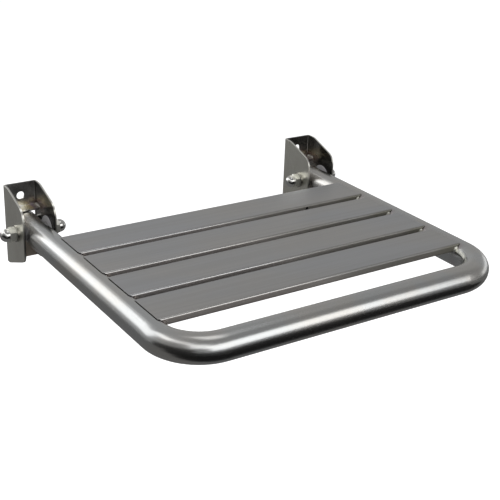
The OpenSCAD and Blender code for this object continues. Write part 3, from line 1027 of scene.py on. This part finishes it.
def round_corner(side, face_y, facing):
    """The bead that climbs along the tube on a slat's front (facing -1) or rear (facing 1) face."""
    length = (FACE_BEAD_TO - FACE_BEAD_FROM) * tube_r

    def place_at(travel):
        angle = FACE_BEAD_FROM + travel / tube_r
        out = Vector((-side * math.cos(angle), 0, math.sin(angle)))
        along = Vector((side * math.sin(angle), 0, math.cos(angle)))
        corner = Vector((side * leg_x, face_y, pivot_z)) + out * tube_r
        arc = fillet_arc(out * FACE_BEAD_ON_SLAT, Vector((0, facing * FACE_BEAD_ON_TUBE, 0)))
        return corner, along, arc, [-FACE_BEAD_ROOT * out]

    return bead(length, face_y * FACE_SEED_PER_METRE + side * FACE_SEED_PER_SIDE, place_at)


for side_name, side in zip(sides, (-1, 1)):
    parts = []
    for low, high in slat_boxes:
        parts += [under_slat(side, low.y), round_corner(side, low.y, -1), round_corner(side, high.y, 1)]
    piece, node = f"{side_name}_slat_beads", f"{side_name}_slat_welds"
    build_piece(piece, parts, slat_weld_material, "seat", node)

# %% [markdown]
# The floor is a pale plane at sitting height below the seat. It takes a soft shadow, and a
# little light of its own, for the camera and for reflections alike, brings it up to white.

# %% Floor
SEAT_HEIGHT = 0.45
FLOOR_HALF = 9.0
FLOOR_COLOUR = (0.80, 0.80, 0.80)
FLOOR_GLOW = (0.76, 0.76, 0.76)
NO_GLOW = (0, 0, 0)


def flat_card(name, centre, half_x, half_y):
    """A horizontal rectangle of the stage."""
    mesh = bpy.data.meshes.new(name)
    corners = [(-half_x, -half_y, 0), (half_x, -half_y, 0), (half_x, half_y, 0), (-half_x, half_y, 0)]
    mesh.from_pydata(corners, [], [(0, 1, 2, 3)])
    card = bpy.data.objects.new(name, mesh)
    card.location = centre
    bpy.context.scene.collection.objects.link(card)
    return card


def floor_material():
    """A matt floor that glows for the rays that look at it."""
    material, shader, wire = new_material("pale_floor", FLOOR_COLOUR, 0.9, metallic=0.0)
    shader.inputs["Specular IOR Level"].default_value = 0.0
    shader.inputs["Emission Strength"].default_value = 1.0
    kinds = ("Camera", "Glossy", "Transmission")
    camera_ray, glossy_ray, through_ray = [
        wire.node("ShaderNodeLightPath", output=f"Is {kind} Ray") for kind in kinds
    ]
    seen = (camera_ray + glossy_ray + through_ray).below(1.0)
    wire.feed(shader.inputs["Emission Color"], blend_colours(wire, seen, NO_GLOW, FLOOR_GLOW))
    return material


floor = flat_card("floor", (0, 0, -SEAT_HEIGHT), FLOOR_HALF, FLOOR_HALF)
floor.data.materials.append(floor_material())
print("floor", SEAT_HEIGHT, "below the seat")

# %% [markdown]
# Level steel faces mirror the room behind the seat, so the room's grey decides how light the
# slats look. It is darkest towards the front, lighter overhead and lightest towards the wall.
# One even grey would be simpler, but then the slats and the sides of the tube can't both be
# right.

# %% Room
ROOM_FRONT = 0.29
ROOM_SIDE = 0.385
ROOM_BEHIND = 0.45
TO_SIDE = (-0.15, 0.2)
TO_WALL = (0.6, 0.95)

world = bpy.data.worlds.new("studio")
world.use_nodes = True
room = Wire(world.node_tree)
towards_wall = parts_of(room, room.node("ShaderNodeTexCoord", output="Generated"))[1]
grey = towards_wall.step(*TO_SIDE).between(ROOM_FRONT, ROOM_SIDE)
grey = grey + towards_wall.step(*TO_WALL) * (ROOM_BEHIND - ROOM_SIDE)
room.feed(world.node_tree.nodes["Background"].inputs["Color"], vector_of(room, grey, grey, grey))
bpy.context.scene.world = world
print("room grey from", ROOM_FRONT, "in front to", ROOM_BEHIND, "behind")

# %% [markdown]
# Polished metal has almost no colour of its own: it shows the room. So the lamps are placed by
# what the steel reflects in the photograph. The tube's left leg shows a broad white band from
# behind on the left, and its front bar one from the front. Between them, a chain of high lamps
# carries the band round the left bend. The low lamp behind on the left lights the legs where
# they leave the brackets, the one straight behind glints on the nuts, and the one on the right
# lights the right bend's rim. The one overhead lights the nuts' upper flats, the slats' front
# edges and the top of the left bend. Each lamp has its azimuth and elevation in degrees as the
# seat sees it, its width and height in metres, and how bright it looks.

# %% Lamps
SEAT_MIDDLE = Vector((0, -0.2, 0))
SOFTBOX_DISTANCE = 1.9


def softbox(name, azimuth, elevation, width, height, radiance):
    """An area lamp that faces the seat, seen under the given angles in degrees."""
    data = bpy.data.lights.new(name, "AREA")
    data.shape = "RECTANGLE"
    data.size = width
    data.size_y = height
    data.energy = radiance * math.pi * width * height
    lamp = bpy.data.objects.new(name, data)
    towards = direction(math.radians(azimuth), math.radians(elevation))
    lamp.location = SEAT_MIDDLE + towards * SOFTBOX_DISTANCE
    lamp.rotation_mode = "QUATERNION"
    lamp.rotation_quaternion = towards.to_track_quat("Z", "Y")
    lamp.visible_camera = False
    bpy.context.scene.collection.objects.link(lamp)
    print(name, "at azimuth", azimuth, "elevation", elevation)


softbox("back_left_softbox", -140, 28, 1.6, 0.95, 1.35)
softbox("back_top_softbox", -167, 38, 0.7, 0.3, 0.6)
softbox("high_left_softbox", -114, 50, 1.0, 0.45, 1.5)
softbox("top_left_softbox", -70, 50, 1.3, 0.5, 0.85)
softbox("front_left_softbox", -30, 34, 0.9, 0.8, 1.2)
softbox("front_softbox", 15, 22, 2.0, 1.1, 1.6)
softbox("right_softbox", 92, 2, 1.4, 0.5, 0.7)
softbox("back_softbox", -175, 8, 1.0, 0.35, 1.4)
softbox("low_back_left_softbox", -163, 15, 0.7, 0.45, 1.6)
softbox("top_softbox", 92, 80, 0.9, 0.7, 0.95)

# %% [markdown]
# Below its white band the front bar is black, because a dark card lay there, and the bend's
# outer side mirrors another dark card on the left. A card that only reflections see does the
# same without darkening the floor. A wide grey one keeps the undersides from mirroring the
# glowing floor.

# %% Cards
CARD_ROUGHNESS = 1.0
GREY_CARD_Z, GREY_CARD_HALF, GREY_CARD_GREY = -0.44, 8.0, 0.16
BLACK_CARD_CENTRE = (-1.4, -2.49, -0.43)
BLACK_CARD_HALF_X, BLACK_CARD_HALF_Y, BLACK_CARD_GREY = 2.6, 2.01, 0.01
LEFT_CARD_AZIMUTH = math.radians(-70)
LEFT_CARD_DISTANCE = 1.9
LEFT_CARD_AIM = Vector((0, -0.2, 0.12))
LEFT_CARD_HALF_WIDTH, LEFT_CARD_HALF_HEIGHT, LEFT_CARD_GREY = 1.3, 0.45, 0.02


def reflection_card(name, centre, half_x, half_y, card_grey, turn=(0, 0, 0)):
    """A card that shows in reflections alone."""
    card = flat_card(name, centre, half_x, half_y)
    card.rotation_euler = turn
    material, shader, _ = new_material(name, NO_GLOW, CARD_ROUGHNESS, metallic=0.0)
    shader.inputs["Specular IOR Level"].default_value = 0.0
    shader.inputs["Emission Color"].default_value = (card_grey, card_grey, card_grey, 1)
    shader.inputs["Emission Strength"].default_value = 1.0
    card.data.materials.append(material)
    card.visible_camera = False
    card.visible_diffuse = False
    card.visible_transmission = False
    card.visible_shadow = False
    print(name, "of grey", card_grey)


reflection_card("grey_card", (0, 0, GREY_CARD_Z), GREY_CARD_HALF, GREY_CARD_HALF, GREY_CARD_GREY)
reflection_card(
    "black_card", BLACK_CARD_CENTRE, BLACK_CARD_HALF_X, BLACK_CARD_HALF_Y, BLACK_CARD_GREY
)
reflection_card(
    "left_card",
    direction(LEFT_CARD_AZIMUTH, 0) * LEFT_CARD_DISTANCE + LEFT_CARD_AIM,
    LEFT_CARD_HALF_WIDTH,
    LEFT_CARD_HALF_HEIGHT,
    LEFT_CARD_GREY,
    (math.radians(90), 0, LEFT_CARD_AZIMUTH),
)

# %% Update the scene
bpy.context.view_layer.update()
